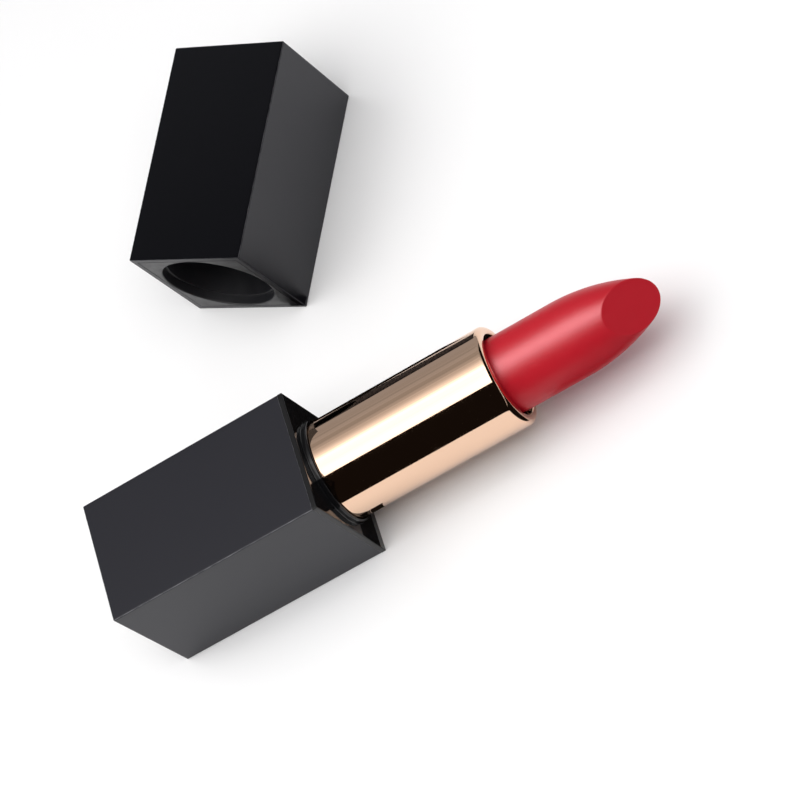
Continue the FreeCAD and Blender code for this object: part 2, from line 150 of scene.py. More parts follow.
# ---- meshes ----------------------------------------------------------------------------------

CORNER_STEPS = 6
SIDE_STEPS = 26
RING_STEPS = 4 * (CORNER_STEPS + SIDE_STEPS)
ARC_STEPS = 6
SHARP_ANGLE = math.radians(35)
WELD_DISTANCE = 1e-5
EDGE_GUARD = 0.12

# How much of a ring carries the edge wear and painted highlight: none of it, only where it
# crosses the long edges, or all the way round.
NO_WEAR_OR_HIGHLIGHT, LONG_EDGES_WEAR_AND_HIGHLIGHT, WEAR_AND_HIGHLIGHT = -1.0, 0.0, 1.0


def square_ring(half, corner):
    """Points round a square with rounded corners, evenly turned along each side."""
    quarter = []
    flat = half - corner
    for step in range(CORNER_STEPS + 1):
        angle = math.radians(90) * step / CORNER_STEPS
        quarter.append((flat + corner * math.cos(angle), flat + corner * math.sin(angle)))
    first = math.atan2(half, flat)
    last = math.pi - first
    for step in range(1, SIDE_STEPS):
        angle = first + (last - first) * step / SIDE_STEPS
        quarter.append((half / math.tan(angle), half))
    ring = []
    for turn in range(4):
        c, s = round(math.cos(turn * math.pi / 2)), round(math.sin(turn * math.pi / 2))
        ring += [(y * c - z * s, y * s + z * c) for y, z in quarter]
    return ring


def round_ring(radius, steps=RING_STEPS):
    """Points round a circle. With RING_STEPS of them, they match a square ring's points."""
    start = math.radians(45) - math.tau / steps * CORNER_STEPS / 2
    angles = [start + math.tau * i / steps for i in range(steps)]
    return [(radius * math.cos(a), radius * math.sin(a)) for a in angles]


def finish_mesh(name, mesh_data, place, body, *stands_for, slot=None):
    """Puts a built mesh in its place, with smooth faces and sharp edges, on its body."""
    mesh = bpy.data.meshes.new(name)
    mesh_data.normal_update()
    mesh_data.to_mesh(mesh)
    mesh_data.free()
    mesh.transform(place)
    mesh.shade_smooth()
    mesh.set_sharp_from_angle(angle=SHARP_ANGLE)
    piece = bpy.data.objects.new(name, mesh)
    bpy.context.collection.objects.link(piece)
    weighted = piece.modifiers.new("even_flats", "WEIGHTED_NORMAL")
    weighted.keep_sharp = True
    weighted.weight = 100
    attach(piece, body)
    if stands_for:
        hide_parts(*stands_for)
    return piece


def skin(rings):
    """A closed mesh over rings of equal length, (x, points, wear and painted highlight), flat at
    both ends.

    The "edge" attribute marks the lines of edge wear and painted highlight: the middle of each
    rounded corner, and every ring that carries them all the way round. A ring without them
    carries no mark at all.
    """
    mesh = bmesh.new()
    edge = mesh.verts.layers.float.new("edge")
    rows = []
    for x, points, ring_wear_and_highlight in rings:
        row = [mesh.verts.new((x, y, z)) for y, z in points]
        for index, vertex in enumerate(row):
            on_corner = index % (CORNER_STEPS + SIDE_STEPS) == CORNER_STEPS // 2
            long_edge = on_corner and ring_wear_and_highlight >= LONG_EDGES_WEAR_AND_HIGHLIGHT
            vertex[edge] = WEAR_AND_HIGHLIGHT if long_edge else max(ring_wear_and_highlight, 0.0)
        rows.append(row)
    for low, high in zip(rows, rows[1:]):
        for i in range(len(low)):
            j = (i + 1) % len(low)
            mesh.faces.new((low[i], low[j], high[j], high[i]))
    mesh.faces.new(rows[0][::-1])
    mesh.faces.new(rows[-1])
    bmesh.ops.recalc_face_normals(mesh, faces=mesh.faces)
    return mesh


def weld(mesh):
    """Joins points that coincide, and turns every face outwards."""
    bmesh.ops.remove_doubles(mesh, verts=mesh.verts, dist=WELD_DISTANCE)
    bmesh.ops.recalc_face_normals(mesh, faces=mesh.faces)


def ring_solid(rings):
    """As skin(), but the last ring is the first, so the mesh is a ring with a hole."""
    mesh = skin(rings)
    caps = [face for face in mesh.faces if len(face.verts) == RING_STEPS]
    bmesh.ops.delete(mesh, geom=caps, context="FACES_ONLY")
    weld(mesh)
    return mesh


def square(x, half, corner, ring_wear_and_highlight=LONG_EDGES_WEAR_AND_HIGHLIGHT):
    return x, square_ring(half, corner), ring_wear_and_highlight


def circle(x, radius):
    return x, round_ring(radius), NO_WEAR_OR_HIGHLIGHT


def rounded_end(x, inward, half, corner, radius):
    """Square rings round the edge of an end face at x, from the face out to the side."""
    guard = radius + EDGE_GUARD
    rings = [square(x, half - guard, max(corner - guard, SHARP_CORNER), NO_WEAR_OR_HIGHLIGHT)]
    for step in range(ARC_STEPS + 1):
        angle = math.radians(90) * step / ARC_STEPS
        inset = radius * (1 - math.sin(angle))
        # The middle step of the arc carries the edge wear and painted highlight all the way
        # round.
        rings.append(
            square(
                x + inward * radius * (1 - math.cos(angle)),
                half - inset,
                max(corner - inset, SHARP_CORNER),
                WEAR_AND_HIGHLIGHT if step == ARC_STEPS // 2 else LONG_EDGES_WEAR_AND_HIGHLIGHT,
            )
        )
    rings.append(square(x + inward * guard, half, corner))
    return rings


def arc(centre_x, centre_r, radius, start, end, steps=ARC_STEPS):
    """Points (x, r) of an arc from angle start to end, in degrees, measured from +X."""
    points = []
    for step in range(steps + 1):
        angle = math.radians(start + (end - start) * step / steps)
        points.append((centre_x + radius * math.cos(angle), centre_r + radius * math.sin(angle)))
    return points


def revolve(profile, steps):
    """A mesh turned about the axis from (x, r) points. A point with r = 0 closes an end."""
    mesh = bmesh.new()
    rows = []
    for x, r in profile:
        if r == 0:
            rows.append([mesh.verts.new((x, 0, 0))])
        else:
            rows.append([mesh.verts.new((x, y, z)) for y, z in round_ring(r, steps)])
    for low, high in zip(rows, rows[1:]):
        for i in range(steps):
            j = (i + 1) % steps
            corners = (
                low[i % len(low)],
                low[j % len(low)],
                high[j % len(high)],
                high[i % len(high)],
            )
            unique = list(dict.fromkeys(corners))
            if len(unique) > 2:
                mesh.faces.new(unique)
    bmesh.ops.recalc_face_normals(mesh, faces=mesh.faces)
    return mesh


# ---- the base --------------------------------------------------------------------------------


def build_casing():
    half, inner = WIDTH / 2, WIDTH / 2 - CASING_WALL
    rings = [
        square(CASING_FLOOR, inner, SHARP_CORNER, NO_WEAR_OR_HIGHLIGHT),
        square(CASING_LENGTH, inner, SHARP_CORNER, NO_WEAR_OR_HIGHLIGHT),
    ]
    rings += rounded_end(CASING_LENGTH, -1, half, EDGE_ROUND, SEAM_ROUND)
    rings += rounded_end(0, 1, half, EDGE_ROUND, EDGE_ROUND)[::-1]
    rings += [
        circle(0, RECESS_RADIUS + RECESS_EDGE),
        circle(RECESS_EDGE, RECESS_RADIUS),
        circle(RECESS_DEPTH, RECESS_RADIUS),
    ]
    return finish_mesh(
        "base_casing_lacquered", skin(rings), case_place(), "base_assembly",
        "base_casing", slot="satin_black",
    )


LABEL_STEPS = 128


def build_label():
    top = RECESS_DEPTH - LABEL_THICK
    soft = 0.03
    profile = [(RECESS_DEPTH, 0), (RECESS_DEPTH, LABEL_RADIUS), (top + soft, LABEL_RADIUS)]
    profile += [(top, LABEL_RADIUS - soft), (top, 0)]
    return finish_mesh(
        "blank_label", revolve(profile, LABEL_STEPS), case_place(), "base_assembly",
        "shade_label", slot="label_paper",
    )


def build_insert():
    """The glossy end plate with its raised ring, and the spigot and sleeve behind it."""
    half = WIDTH / 2
    plate_start = CASING_LENGTH
    spigot = half - CASING_WALL - SPIGOT_GAP
    top = BASE_LENGTH + BOSS_HEIGHT
    bore_floor = SLEEVE_START + SLEEVE_FLOOR
    rings = [
        circle(bore_floor, STUB_HOLE),
        circle(SLEEVE_START, STUB_HOLE),
        circle(SLEEVE_START, SLEEVE_RADIUS),
        circle(plate_start - SPIGOT_LENGTH, SLEEVE_RADIUS),
        square(plate_start - SPIGOT_LENGTH, spigot, SHARP_CORNER, NO_WEAR_OR_HIGHLIGHT),
        square(plate_start, spigot, SHARP_CORNER, NO_WEAR_OR_HIGHLIGHT),
    ]
    rings += rounded_end(plate_start, 1, half, PLATE_ROUND, PLATE_SEAM_ROUND)
    rings += rounded_end(BASE_LENGTH, -1, half, PLATE_ROUND, PLATE_ROUND)[::-1]
    for x, r in arc(BASE_LENGTH + BOSS_FOOT, BOSS_RADIUS + BOSS_FOOT, BOSS_FOOT, 180, 270):
        rings.append(circle(x, r))
    for x, r in arc(top - BOSS_ROUND, BOSS_RADIUS - BOSS_ROUND, BOSS_ROUND, 90, 0):
        rings.append(circle(x, r))
    lip = 0.06
    rings += [
        circle(top, RING_BORE + lip),
        circle(top - lip, RING_BORE),
        circle(BASE_LENGTH, RING_BORE),
        circle(BASE_LENGTH, INSERT_BORE),
        circle(bore_floor, INSERT_BORE),
        circle(bore_floor, STUB_HOLE),
    ]
    return finish_mesh(
        "gloss_end_plate", ring_solid(rings), case_place(), "base_assembly",
        "base_insert", slot="gloss_black",
    )


# ---- the gold tube ---------------------------------------------------------------------------

TUBE_STEPS = 256
SHOULDER_STEPS = 16
LIP_STEPS = 8


def build_tube():
    """Drawn tube: a rounded shoulder, and a rim turned in to a softly rounded lip."""
    foot = BASE_LENGTH + BOSS_HEIGHT
    soft = 0.03
    plain = 1.0
    profile = [
        (TUBE_START, TUBE_INSIDE),
        (TUBE_START, TUBE_HIDDEN),
        (foot, TUBE_HIDDEN),
        (foot, TUBE_RADIUS - soft),
        (foot + soft, TUBE_RADIUS),
        (foot + plain, TUBE_RADIUS),
        (TUBE_END - RIM_SHOULDER - plain, TUBE_RADIUS),
    ]
    shoulder = TUBE_END - RIM_SHOULDER, TUBE_RADIUS - RIM_SHOULDER
    outer_lip = TUBE_END - RIM_LIP, RIM_OPENING + RIM_LIP
    inner_lip = TUBE_END - RIM_THICK + RIM_LIP, RIM_OPENING + RIM_LIP
    profile += arc(*shoulder, RIM_SHOULDER, 90, 0, SHOULDER_STEPS)
    profile += arc(*outer_lip, RIM_LIP, 0, -90, LIP_STEPS)[1:]
    profile += arc(*inner_lip, RIM_LIP, 270, 180, LIP_STEPS)
    profile += [(TUBE_END - RIM_THICK, TUBE_INSIDE), (TUBE_START, TUBE_INSIDE)]
    mesh = revolve(profile, TUBE_STEPS)
    weld(mesh)
    return finish_mesh(
        "rose_gold_tube", mesh, case_place(), "tube_assembly",
        "outer_tube", slot="rose_gold",
    )


# ---- the lipstick ----------------------------------------------------------------------------

STICK_STEPS = 256
STICK_ROWS = 26
FACET_CORNER_STEPS = 5
FACET_RINGS = (0.08, 0.3, 0.6)
HALVINGS = 60


def ogive(x):
    """Radius of the stick's taper at x."""
    return math.sqrt(OGIVE_RADIUS**2 - (x - OGIVE_START) ** 2) - OGIVE_RADIUS + STICK_RADIUS


def beyond_facet(x, r, angle):
    """How far past the facet's plane a point is. The plane leans towards FACET_TURN."""
    along = (x - FACET_CROSSING) * math.cos(FACET_LEAN)
    return along + r * math.cos(angle - FACET_TURN) * math.sin(FACET_LEAN)


def facet_edge(angle):
    """Where the taper meets the facet, in the half-plane at this angle about the axis."""
    ogive_length = math.sqrt(2 * OGIVE_RADIUS * STICK_RADIUS - STICK_RADIUS**2)
    low, high = OGIVE_START, OGIVE_START + ogive_length
    for _ in range(HALVINGS):
        middle = (low + high) / 2
        if beyond_facet(middle, ogive(middle), angle) > 0:
            high = middle
        else:
            low = middle
    return low


def stick_point(x, r, angle):
    return Vector((x, r * math.cos(angle), r * math.sin(angle)))


def curve_points(start, bend, end, steps):
    """Points of a quadratic curve, without its ends."""
    points = []
    for step in range(1, steps):
        t = step / steps
        points.append(start * (1 - t) ** 2 + bend * (2 * t * (1 - t)) + end * t**2)
    return points


def stick_column(angle, middle):
    """Points of the stick from root to the middle of the facet, in one half-plane."""
    soft = 0.1
    column = [
        stick_point(x, r, angle)
        for x, r in (
            (ROOT_START, ROOT_RADIUS - soft),
            (ROOT_START + soft, ROOT_RADIUS),
            (ROOT_END, ROOT_RADIUS),
            (ROOT_END, STICK_RADIUS),
            (ROOT_END + 2.0, STICK_RADIUS),
            (OGIVE_START - 1.5, STICK_RADIUS),
            (OGIVE_START, STICK_RADIUS),
        )
    ]
    cut = facet_edge(angle)
    edge = stick_point(cut, ogive(cut), angle)
    before = cut - FACET_EDGE
    for row in range(1, STICK_ROWS + 1):
        x = OGIVE_START + (before - OGIVE_START) * row / STICK_ROWS
        column.append(stick_point(x, ogive(x), angle))
    inward = (middle - edge).normalized()
    after = edge + inward * FACET_EDGE
    column += curve_points(column[-1], edge, after, FACET_CORNER_STEPS)
    column.append(after)
    for share in FACET_RINGS:
        column.append(after.lerp(middle, share))
    return column


def build_stick():
    middle_x = FACET_CROSSING - FACET_MIDDLE * math.tan(FACET_LEAN)
    middle = stick_point(middle_x, FACET_MIDDLE, FACET_TURN)
    mesh = bmesh.new()
    columns = []
    for step in range(STICK_STEPS):
        points = stick_column(math.tau * step / STICK_STEPS, middle)
        columns.append([mesh.verts.new(point) for point in points])
    root = mesh.verts.new((ROOT_START, 0, 0))
    tip = mesh.verts.new(middle)
    for left, right in zip(columns, columns[1:] + columns[:1]):
        for row in range(len(left) - 1):
            mesh.faces.new((left[row], left[row + 1], right[row + 1], right[row]))
        mesh.faces.new((root, left[0], right[0]))
        mesh.faces.new((left[-1], tip, right[-1]))
    bmesh.ops.recalc_face_normals(mesh, faces=mesh.faces)
    return finish_mesh(
        "lipstick_bullet", mesh, case_place(), "stick_carrier",
        "lipstick", slot="red_lipstick",
    )


# ---- the cap ---------------------------------------------------------------------------------


def build_cap_shell():
    half, inner = WIDTH / 2, WIDTH / 2 - CAP_WALL
    soft = 0.04
    rings = [
        square(CAP_LENGTH - CAP_FLOOR, inner, INNER_CORNER, NO_WEAR_OR_HIGHLIGHT),
        square(soft, inner, INNER_CORNER, NO_WEAR_OR_HIGHLIGHT),
        square(0, inner + soft, INNER_CORNER + soft),
    ]
    rings += rounded_end(0, 1, half, EDGE_ROUND, MOUTH_ROUND)
    rings += rounded_end(CAP_LENGTH, -1, half, EDGE_ROUND, EDGE_ROUND)[::-1]
    return finish_mesh(
        "cap_shell_lacquered", skin(rings), cap_place(), "cap_assembly",
        "cap_shell", slot="satin_black",
    )


def build_cap_liner():
    block = WIDTH / 2 - CAP_WALL - LINER_GAP
    bore_end = LINER_LENGTH - LINER_FLOOR
    soft = 0.06
    rings = [
        circle(bore_end, BORE_FLOOR_DISC),
        circle(bore_end, CAP_BORE - soft),
        circle(bore_end - soft, CAP_BORE),
        circle(COUNTERBORE_DEPTH + soft, CAP_BORE),
        circle(COUNTERBORE_DEPTH, CAP_BORE + soft),
        circle(COUNTERBORE_DEPTH, COUNTERBORE_RADIUS),
    ]
    lead = arc(BORE_EDGE, COUNTERBORE_RADIUS + BORE_EDGE, BORE_EDGE, 270, 180)
    rings += [circle(x, r) for x, r in lead]
    rings += [
        square(0, block - INNER_CORNER, SHARP_CORNER, NO_WEAR_OR_HIGHLIGHT),
        square(INNER_CORNER, block, INNER_CORNER, NO_WEAR_OR_HIGHLIGHT),
        square(BLOCK_LENGTH, block, INNER_CORNER, NO_WEAR_OR_HIGHLIGHT),
        circle(BLOCK_LENGTH, LINER_RADIUS),
        circle(LINER_LENGTH, LINER_RADIUS),
    ]
    return finish_mesh(
        "cap_liner_moulded", skin(rings), cap_place(), "cap_assembly",
        "cap_liner", slot="liner_black",
    )


# ---- finishes --------------------------------------------------------------------------------


# Most of a noise's values lie between these two.
NOISE_LOW, NOISE_HIGH = 0.3, 0.7


def map_range(tree, factor, low, high, start, end):
    """The factor between start and end, spread over low to high."""
    ramp = tree.nodes.new("ShaderNodeMapRange")
    for socket, value in (
        ("From Min", start), ("From Max", end), ("To Min", low), ("To Max", high)
    ):
        ramp.inputs[socket].default_value = value
    tree.links.new(factor, ramp.inputs["Value"])
    return ramp.outputs["Result"]


def multiply(tree, first, second):
    product = tree.nodes.new("ShaderNodeMath")
    product.operation = "MULTIPLY"
    tree.links.new(first, product.inputs[0])
    tree.links.new(second, product.inputs[1])
    return product.outputs["Value"]


class Finish:
    """A Principled material, with the patterns that the finishes share."""

    def __init__(self, name, roughness, **constants):
        self.material = bpy.data.materials.new(name)
        self.material.use_nodes = True
        self.tree = self.material.node_tree
        self.nodes, self.links = self.tree.nodes, self.tree.links
        self.shader = next(n for n in self.nodes if n.type == "BSDF_PRINCIPLED")
        self.shader.inputs["Roughness"].default_value = roughness
        for socket, value in constants.items():
            self.shader.inputs[socket.replace("_", " ")].default_value = value
        self.place = self.nodes.new("ShaderNodeTexCoord").outputs["Object"]

    def noise(self, size_mm, detail=4.0, stretch=(1, 1, 1), offset=0.0):
        """Soft noise whose features are about this size, stretched along x, y and z."""
        mapping = self.nodes.new("ShaderNodeMapping")
        scale = [1 / (size_mm * MM * s) for s in stretch]
        mapping.inputs["Scale"].default_value = scale
        mapping.inputs["Location"].default_value = (offset, offset, offset)
        texture = self.nodes.new("ShaderNodeTexNoise")
        texture.inputs["Scale"].default_value = 1.0
        texture.inputs["Detail"].default_value = detail
        self.links.new(self.place, mapping.inputs["Vector"])
        self.links.new(mapping.outputs["Vector"], texture.inputs["Vector"])
        return texture.outputs["Fac"]

    def spread(self, factor, low, high, start=NOISE_LOW, end=NOISE_HIGH):
        """As map_range(), from the span that most of a noise's values lie in."""
        return map_range(self.tree, factor, low, high, start, end)

    def edge_wear_and_highlight_mask(self, grain):
        """The mesh's edge mask, broken up by a noise: where the edge wear and painted highlight
        go.
        """
        mask = self.nodes.new("ShaderNodeAttribute")
        mask.attribute_name = "edge"
        return multiply(self.tree, mask.outputs["Fac"], grain)

    def mix(self, factor, first, second):
        """A colour between two, where a first colour may be another mix's output."""
        node = self.nodes.new("ShaderNodeMix")
        node.data_type = "RGBA"
        inputs = [s for s in node.inputs if s.type == "RGBA"]
        for socket, colour in zip(inputs, (first, second)):
            if isinstance(colour, tuple):
                socket.default_value = (*colour, 1)
            else:
                self.links.new(colour, socket)
        self.links.new(factor, node.inputs["Factor"])
        return next(s for s in node.outputs if s.type == "RGBA")

    def colour(self, output):
        self.links.new(output, self.shader.inputs["Base Color"])

    def roughness(self, output):
        self.links.new(output, self.shader.inputs["Roughness"])

    def bump(self, height, depth_mm):
        """Relief of this depth."""
        node = self.nodes.new("ShaderNodeBump")
        node.inputs["Strength"].default_value = 1.0
        node.inputs["Distance"].default_value = depth_mm * MM
        self.links.new(height, node.inputs["Height"])
        self.links.new(node.outputs["Normal"], self.shader.inputs["Normal"])


def satin_black():
    """Soft-touch black lacquer: a fine orange peel, faint rubs, and light grey edges that are
    partly wear and partly a painted highlight.
    """
    finish = Finish(
        "satin_black_lacquer", 0.36, Specular_IOR_Level=0.5, Specular_Tint=(0.94, 0.94, 1.0, 1)
    )
    cloud = finish.noise(12.0, 2.0)
    grain = finish.noise(0.25, 3.0, offset=3.0)
    base = finish.mix(cloud, (0.0050, 0.0050, 0.0088), (0.0056, 0.0056, 0.0098))
    edge_wear_and_highlight = finish.edge_wear_and_highlight_mask(finish.spread(finish.noise(1.2, 5.0), 0.35, 1.0, 0.35, 0.75))
    # The edges are mixed to a light grey: partly wear, partly a painted highlight along the long
    # edges.
    finish.colour(finish.mix(edge_wear_and_highlight, base, (0.34, 0.34, 0.36)))
    finish.roughness(finish.spread(finish.noise(14.0, 2.0, offset=7.0), 0.355, 0.37))
    finish.bump(grain, 0.0004)
    return finish.material


def gloss_black():
    """Polished black plastic, with the slight waviness and smears of a moulded face."""
    finish = Finish("gloss_black_plastic", 0.06, Specular_IOR_Level=0.36)
    finish.colour(
        finish.mix(finish.noise(6.0), (0.004, 0.004, 0.0045), (0.007, 0.007, 0.008))
    )
    finish.roughness(finish.spread(finish.noise(3.0, 6.0), 0.05, 0.09))
    finish.bump(finish.noise(4.0, 2.0, offset=2.0), 0.001)
    return finish.material


def liner_black():
    """Plain moulded polypropylene, finely grained."""
    finish = Finish("liner_black_plastic", 0.4, Specular_IOR_Level=0.6)
    finish.colour(
        finish.mix(finish.noise(4.0), (0.009, 0.009, 0.011), (0.014, 0.014, 0.017))
    )
    finish.roughness(finish.spread(finish.noise(1.5, 5.0, offset=5.0), 0.34, 0.46))
    finish.bump(finish.noise(0.18, 3.0, offset=1.0), 0.004)
    return finish.material


def rose_gold():
    """Polished and anodised aluminium: a clean mirror with faint drawing lines."""
    finish = Finish("rose_gold_mirror", 0.05, Metallic=1.0)
    cloud = finish.noise(7.0, 3.0)
    finish.colour(finish.mix(cloud, (0.81, 0.555, 0.40), (0.83, 0.575, 0.415)))
    lines = finish.noise(0.22, 2.0, stretch=(1, 90, 90), offset=4.0)
    finish.roughness(finish.spread(finish.noise(2.5, 6.0), 0.035, 0.075))
    finish.bump(lines, 0.0002)
    return finish.material


def red_lipstick():
    """Moulded wax with fine pigment: matte, with a soft satin sheen and faint bloom."""
    finish = Finish("red_lipstick_wax", 0.42, Specular_IOR_Level=0.35, IOR=1.45)
    cloud = finish.noise(3.0, 5.0)
    finish.colour(finish.mix(cloud, (0.44, 0.0025, 0.012), (0.48, 0.0032, 0.014)))
    finish.roughness(finish.spread(finish.noise(0.9, 5.0, offset=6.0), 0.36, 0.42))
    finish.bump(finish.noise(0.12, 4.0, offset=8.0), 0.004)
    return finish.material


def label_paper():
    """Plain matte paper with short fibres."""
    finish = Finish("label_paper", 0.8, Specular_IOR_Level=0.3)
    fibres = finish.noise(0.3, 6.0, stretch=(1, 1, 4))
    finish.colour(finish.mix(fibres, (0.72, 0.71, 0.68), (0.82, 0.81, 0.78)))
    finish.roughness(finish.spread(fibres, 0.7, 0.9))
    finish.bump(fibres, 0.01)
    return finish.material


def dark_plastic(name, dark, light):
    """Moulded dark plastic for the works."""
    finish = Finish(name, 0.4, Specular_IOR_Level=0.5)
    finish.colour(finish.mix(finish.noise(2.0), (dark,) * 3, (light,) * 3))
    finish.roughness(finish.spread(finish.noise(1.0, 5.0, offset=5.0), 0.34, 0.48))
    finish.bump(finish.noise(0.15, 3.0), 0.004)
    return finish.material


def drag_rubber():
    finish = Finish("drag_rubber", 0.7, Specular_IOR_Level=0.4)
    finish.colour(finish.mix(finish.noise(1.0), (0.02,) * 3, (0.04,) * 3))
    finish.roughness(finish.spread(finish.noise(0.4, 5.0), 0.6, 0.85))
    finish.bump(finish.noise(0.1, 3.0), 0.005)
    return finish.material


def zinc_steel():
    """Stamped steel with rolling lines."""
    finish = Finish("zinc_plated_steel", 0.4, Metallic=1.0)
    lines = finish.noise(0.1, 4.0, stretch=(1, 30, 1))
    finish.colour(finish.mix(lines, (0.5, 0.5, 0.51), (0.6, 0.6, 0.6)))
    finish.roughness(finish.spread(lines, 0.3, 0.5))
    finish.bump(lines, 0.002)
    return finish.material


def paint(piece, material):
    piece.data.materials.clear()
    piece.data.materials.append(material)


def paint_cad(node, material):
    for slot in frame["nodes"][node].material_slots:
        slot.material = material


# ---- the stage -------------------------------------------------------------------------------

WORLD_GLOW = 0.38
WORLD_COLOUR = (0.95, 0.965, 1.0)
FLOOR_REACH = 6.0

KEY_GLOW = 0.6
KEY_ANGLE = math.radians(40)
KEY_TOWARDS = (-0.52, 0.30, 0.80)

STRIP_GLOW = 8.0
STRIP_COLOUR = (0.92, 0.96, 1.0)
STRIP_SIZE = (0.9, 0.26)
STRIP_PLACE = (-0.15, 0.02, 0.41)

SOFTBOX_GLOW = 2.4
SOFTBOX_HEIGHT = 0.42
SOFTBOX_LEFT, SOFTBOX_RIGHT = -0.70, 0.40
SOFTBOX_FRONT, SOFTBOX_BACK, BEYOND_BACK = -0.237, 0.42, 1.2
SOFTBOX_COLOUR = (1.0, 0.99, 0.98)
BEYOND_COLOUR = (0.97, 0.98, 1.0)
FADE_BACK, FADE_FRONT, FADE_POWER = 0.36, 0.04, 3.0
STREAK_SCALE = (1.0, 22.0, 1.0)
STREAK_DIM, STREAK_BRIGHT = 0.82, 1.18

DARK_COLOUR = (1.0, 0.75, 0.6)
DARK_GLOW = 0.008
WALL_DISTANCE = 0.5
WALL_REACH = 1.2
WALL_BOTTOM, WALL_TOP = -0.001, 0.86
END_WALL_X = 0.42
END_WALL_BOTTOM, END_WALL_TOP = 0.02, 0.42

CAMERA_AIM = (0.03218, 0.00536, 0.0103)
CAMERA_DISTANCE = 0.49294
CAMERA_AZIMUTH = math.radians(30.71)
CAMERA_ELEVATION = math.radians(53.39)
CAMERA_ROLL = math.radians(-54.98)
CAMERA_SENSOR, CAMERA_LENS = 36.0, 148.5
CAMERA_NEAR, CAMERA_FAR = 0.01, 20.0


def level_corners(left, right, front, back, height):
    return [
        (left, front, height), (right, front, height),
        (right, back, height), (left, back, height),
    ]


def upright_corners(start, end, bottom, top):
    """Corners of an upright card that stands on the line from start to end, each (x, y)."""
    return [(*start, bottom), (*end, bottom), (*end, top), (*start, top)]


def build_floor():
    """Plain pale floor, far wider than any view."""
    mesh = bpy.data.meshes.new("floor")
    corners = level_corners(-FLOOR_REACH, FLOOR_REACH, -FLOOR_REACH, FLOOR_REACH, 0)
    mesh.from_pydata(corners, [], [(0, 1, 2, 3)])
    floor = bpy.data.objects.new("floor", mesh)
    bpy.context.collection.objects.link(floor)
    finish = Finish("pale_floor", 1.0, Specular_IOR_Level=0.0)
    finish.colour(finish.mix(finish.noise(40.0), (0.90, 0.90, 0.905), (0.92, 0.92, 0.925)))
    paint(floor, finish.material)


def build_card(name, corners, colour, strength=1.0):
    """A flat card that glows at this strength, and that no camera ray sees."""
    mesh = bpy.data.meshes.new(name)
    mesh.from_pydata(corners, [], [(0, 1, 2, 3)])
    card = bpy.data.objects.new(name, mesh)
    bpy.context.collection.objects.link(card)
    material = bpy.data.materials.new(name)
    material.use_nodes = True
    nodes, links = material.node_tree.nodes, material.node_tree.links
    nodes.clear()
    output = nodes.new("ShaderNodeOutputMaterial")
    glow = nodes.new("ShaderNodeEmission")
    glow.inputs["Color"].default_value = (*colour, 1)
    glow.inputs["Strength"].default_value = strength
    links.new(glow.outputs[0], output.inputs["Surface"])
    card.data.materials.append(material)
    card.visible_camera = False
    return card


def build_dark_card(name, corners):
    """A nearly black, slightly warm card that only reflections see."""
    card = build_card(name, corners, DARK_COLOUR, DARK_GLOW)
    card.visible_diffuse = False
    card.visible_shadow = False
    card.visible_transmission = False


def fade_glow(card):
    """The card's glow rises from the world's to the softbox's towards the front, in streaks."""
    tree = card.data.materials[0].node_tree
    nodes, links = tree.nodes, tree.links
    glow = next(n for n in nodes if n.type == "EMISSION")
    place = nodes.new("ShaderNodeTexCoord").outputs["Object"]
    split = nodes.new("ShaderNodeSeparateXYZ")
    links.new(place, split.inputs[0])
    share = map_range(tree, split.outputs["Y"], 0.0, 1.0, FADE_BACK, FADE_FRONT)
    curve = nodes.new("ShaderNodeMath")
    curve.operation = "POWER"
    curve.inputs[1].default_value = FADE_POWER
    links.new(share, curve.inputs[0])
    level = map_range(tree, curve.outputs["Value"], WORLD_GLOW, SOFTBOX_GLOW, 0.0, 1.0)
    stretch = nodes.new("ShaderNodeMapping")
    stretch.inputs["Scale"].default_value = STREAK_SCALE
    links.new(place, stretch.inputs["Vector"])
    streaks = nodes.new("ShaderNodeTexNoise")
    streaks.inputs["Scale"].default_value = 1.0
    links.new(stretch.outputs["Vector"], streaks.inputs["Vector"])
    shade = map_range(
        tree, streaks.outputs["Fac"], STREAK_DIM, STREAK_BRIGHT, NOISE_LOW, NOISE_HIGH
    )
    links.new(multiply(tree, level, shade), glow.inputs["Strength"])


def light_only(lamp, piece, state):
    """Links the lamp or card to one piece: INCLUDE lights it alone, EXCLUDE all but it."""
    group = bpy.data.collections.new(lamp.name + "_link")
    group.objects.link(piece)
    group.collection_objects[0].light_linking.link_state = state
    lamp.light_linking.receiver_collection = group


def build_lamps(stick):
    """A soft key from the upper left, and a long strip that only the stick's sheen shows."""
    key = bpy.data.lights.new("key", "SUN")
    key.energy = KEY_GLOW
    key.angle = KEY_ANGLE
    lamp = bpy.data.objects.new("key", key)
    lamp.matrix_world = Vector(KEY_TOWARDS).to_track_quat("Z", "Y").to_matrix().to_4x4()
    lamp.visible_glossy = False
    bpy.context.collection.objects.link(lamp)
    strip = bpy.data.lights.new("highlight_strip", "AREA")
    strip.shape = "RECTANGLE"
    strip.size, strip.size_y = STRIP_SIZE
    strip.color = STRIP_COLOUR
    strip.energy = STRIP_GLOW
    lamp = bpy.data.objects.new("highlight_strip", strip)
    lamp.matrix_world = Matrix.Translation(STRIP_PLACE)
    lamp.visible_diffuse = False
    lamp.visible_camera = False
    bpy.context.collection.objects.link(lamp)
    light_only(lamp, stick, "INCLUDE")


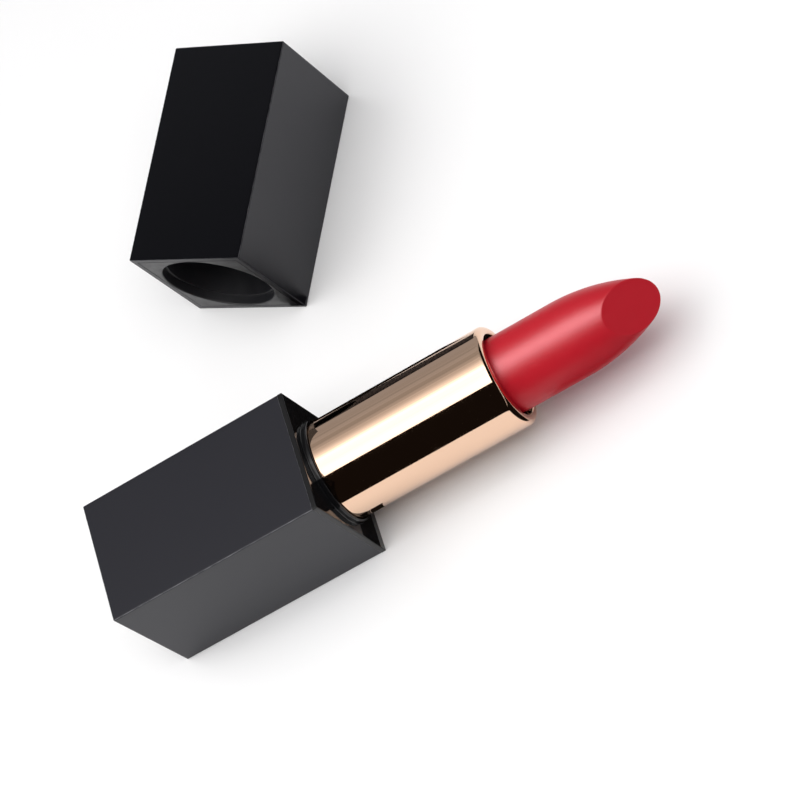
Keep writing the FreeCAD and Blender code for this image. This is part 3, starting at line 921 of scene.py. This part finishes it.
def build_cards(cap):
    """The softbox overhead, and what the mirror of the tube sees beside it."""
    across = SOFTBOX_LEFT, SOFTBOX_RIGHT
    softbox = build_card(
        "softbox", level_corners(*across, SOFTBOX_FRONT, SOFTBOX_BACK, SOFTBOX_HEIGHT),
        SOFTBOX_COLOUR,
    )
    fade_glow(softbox)
    softbox.visible_shadow = False
    beyond = build_card(
        "soft_card_beyond", level_corners(*across, SOFTBOX_BACK, BEYOND_BACK, SOFTBOX_HEIGHT),
        BEYOND_COLOUR,
    )
    fade_glow(beyond)
    beyond.visible_shadow = False
    light_only(softbox, cap, "EXCLUDE")

    case_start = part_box("base_casing")[0].x
    plate = case_start + BASE_LENGTH * MM
    rim = case_start + TUBE_END * MM
    near_side = -WIDTH / 2 * MM
    build_dark_card(
        "dark_wall",
        upright_corners(
            (-WALL_REACH, -WALL_DISTANCE), (WALL_REACH, -WALL_DISTANCE), WALL_BOTTOM, WALL_TOP
        ),
    )
    # Left, right, front, back and height. The heights differ where two of the cards overlap.
    for name, edges in {
        "dark_strip_front": (-0.4, 0.2, -WALL_DISTANCE, -0.075, 0.0006),
        "dark_strip_behind": (plate - 0.03, rim - 0.012, 0.004, 0.037, 0.0006),
        "dark_patch_under": (plate + 0.0003, plate + 0.0025, near_side, 0.004, 0.0008),
        "dark_patch_beside_stick": (rim + 0.003, 0.16, -0.08, -0.006, 0.0007),
    }.items():
        build_dark_card(name, level_corners(*edges))
    build_dark_card(
        "dark_end_wall",
        upright_corners(
            (END_WALL_X, -WALL_DISTANCE), (END_WALL_X, WALL_DISTANCE),
            END_WALL_BOTTOM, END_WALL_TOP,
        ),
    )


def build_world():
    world = bpy.data.worlds.new("studio")
    world.use_nodes = True
    background = world.node_tree.nodes["Background"]
    background.inputs["Color"].default_value = (*WORLD_COLOUR, 1)
    background.inputs["Strength"].default_value = WORLD_GLOW
    bpy.context.scene.world = world


def build_camera():
    """Camera at the photograph's viewing angle: aimed at the tube, rolled as it was held."""
    back = Vector(
        (
            math.sin(CAMERA_AZIMUTH) * math.cos(CAMERA_ELEVATION),
            -math.cos(CAMERA_AZIMUTH) * math.cos(CAMERA_ELEVATION),
            math.sin(CAMERA_ELEVATION),
        )
    )
    data = bpy.data.cameras.new("camera")
    data.sensor_width, data.lens = CAMERA_SENSOR, CAMERA_LENS
    data.clip_start, data.clip_end = CAMERA_NEAR, CAMERA_FAR
    camera = bpy.data.objects.new("camera", data)
    bpy.context.collection.objects.link(camera)
    level = (-back).to_track_quat("-Z", "Y").to_matrix().to_4x4()
    place = Matrix.Translation(Vector(CAMERA_AIM) + back * CAMERA_DISTANCE)
    camera.matrix_world = place @ level @ Matrix.Rotation(CAMERA_ROLL, 4, "Z")
    bpy.context.scene.camera = camera


# ---- all together ----------------------------------------------------------------------------


def dress():
    satin = satin_black()
    paint(build_casing(), satin)
    cap = build_cap_shell()
    paint(cap, satin)
    paint(build_label(), label_paper())
    paint(build_insert(), gloss_black())
    paint(build_tube(), rose_gold())
    stick = build_stick()
    paint(stick, red_lipstick())
    paint(build_cap_liner(), liner_black())
    works = dark_plastic("works_plastic", 0.012, 0.022)
    for node in ("inner_body", "bullet_cup"):
        paint_cad(node, works)
    paint_cad("spiral_sleeve", dark_plastic("spiral_plastic", 0.09, 0.14))
    paint_cad("drag_ring", drag_rubber())
    steel = zinc_steel()
    for node in ("base_weight", "cap_weight"):
        paint_cad(node, steel)
    return cap, stick


bpy.context.scene.view_settings.view_transform = "Standard"
build_camera()
build_world()
build_floor()
CAP, STICK = dress()
build_cards(CAP)
build_lamps(STICK)
